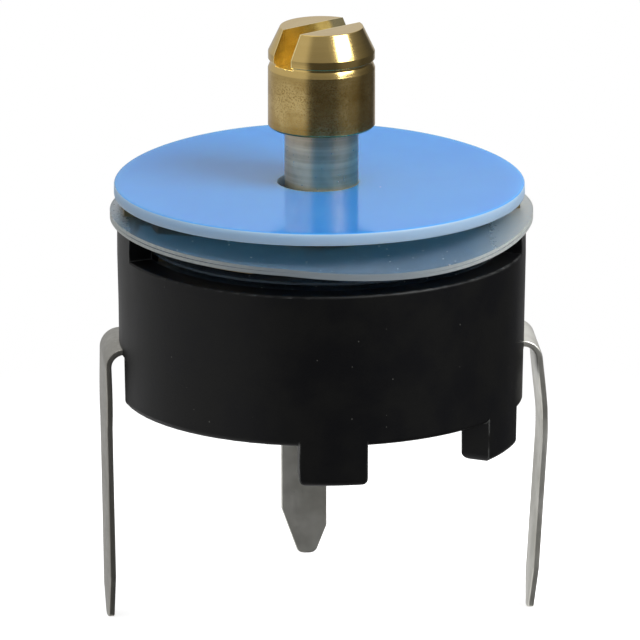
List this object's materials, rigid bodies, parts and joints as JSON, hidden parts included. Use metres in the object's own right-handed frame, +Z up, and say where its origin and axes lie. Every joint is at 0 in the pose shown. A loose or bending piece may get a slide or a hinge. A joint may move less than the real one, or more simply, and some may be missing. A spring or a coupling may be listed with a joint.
{
  "type": "trimmer capacitor",
  "caption": "Film-dielectric trimmer capacitor: black moulded body with stacked plates, blue cover disc, slotted brass adjuster on a steel spindle, flat solder leads.",
  "frame": {"origin": "on the spindle axis, in the plane of the housing's feet, where the part sits on its board", "axes": "+Z up along the spindle to the adjuster head, +X along the line of the stator leads to the right one, +Y to the rotor lead"},
  "size_m": [0.0108, 0.0108, 0.0148],
  "materials": {
    "housing_black": "moulded, matte",
    "tinned_strip": "tinned, dull",
    "clear_film": "clear film",
    "cover_blue": "glossy",
    "spindle_steel": "turned",
    "spring_steel": "bright",
    "head_brass": "turned",
    "plate_brass": "stamped"
  },
  "bodies": {
    "base": {"base_housing": "housing_black", "clear_film_lower": "clear_film", "clear_film_upper": "clear_film", "cover_disc": "cover_blue", "inner_film_1": "clear_film", "inner_film_2": "clear_film", "inner_film_3": "clear_film", "inner_film_4": "clear_film", "inner_film_5": "clear_film", "inner_film_6": "clear_film", "rotor_lead": "tinned_strip", "stator_lead_left": "tinned_strip", "stator_lead_right": "tinned_strip", "stator_plate_1": "plate_brass", "stator_plate_2": "plate_brass", "stator_plate_3": "plate_brass", "stator_plate_4": "plate_brass", "stator_spacer_left_1": "plate_brass", "stator_spacer_left_2": "plate_brass", "stator_spacer_left_3": "plate_brass", "stator_spacer_left_4": "plate_brass", "stator_spacer_right_1": "plate_brass", "stator_spacer_right_2": "plate_brass", "stator_spacer_right_3": "plate_brass", "stator_spacer_right_4": "plate_brass"},
    "rotor": {"spindle": "spindle_steel", "adjuster_head": "head_brass", "clamp_collar": "plate_brass", "retaining_clip": "spring_steel", "spring_washer": "spring_steel", "rotor_plate_1": "plate_brass", "rotor_plate_2": "plate_brass", "rotor_plate_3": "plate_brass", "rotor_plate_4": "plate_brass", "rotor_spacer_1": "plate_brass", "rotor_spacer_2": "plate_brass", "rotor_spacer_3": "plate_brass"}
  },
  "joints": [
    {"name": "rotor_turn", "type": "hinge", "parent": "base", "child": "rotor", "pos_m": [0, 0, 0.0052], "axis": [0, 0, 1], "continuous": true}
  ]
}
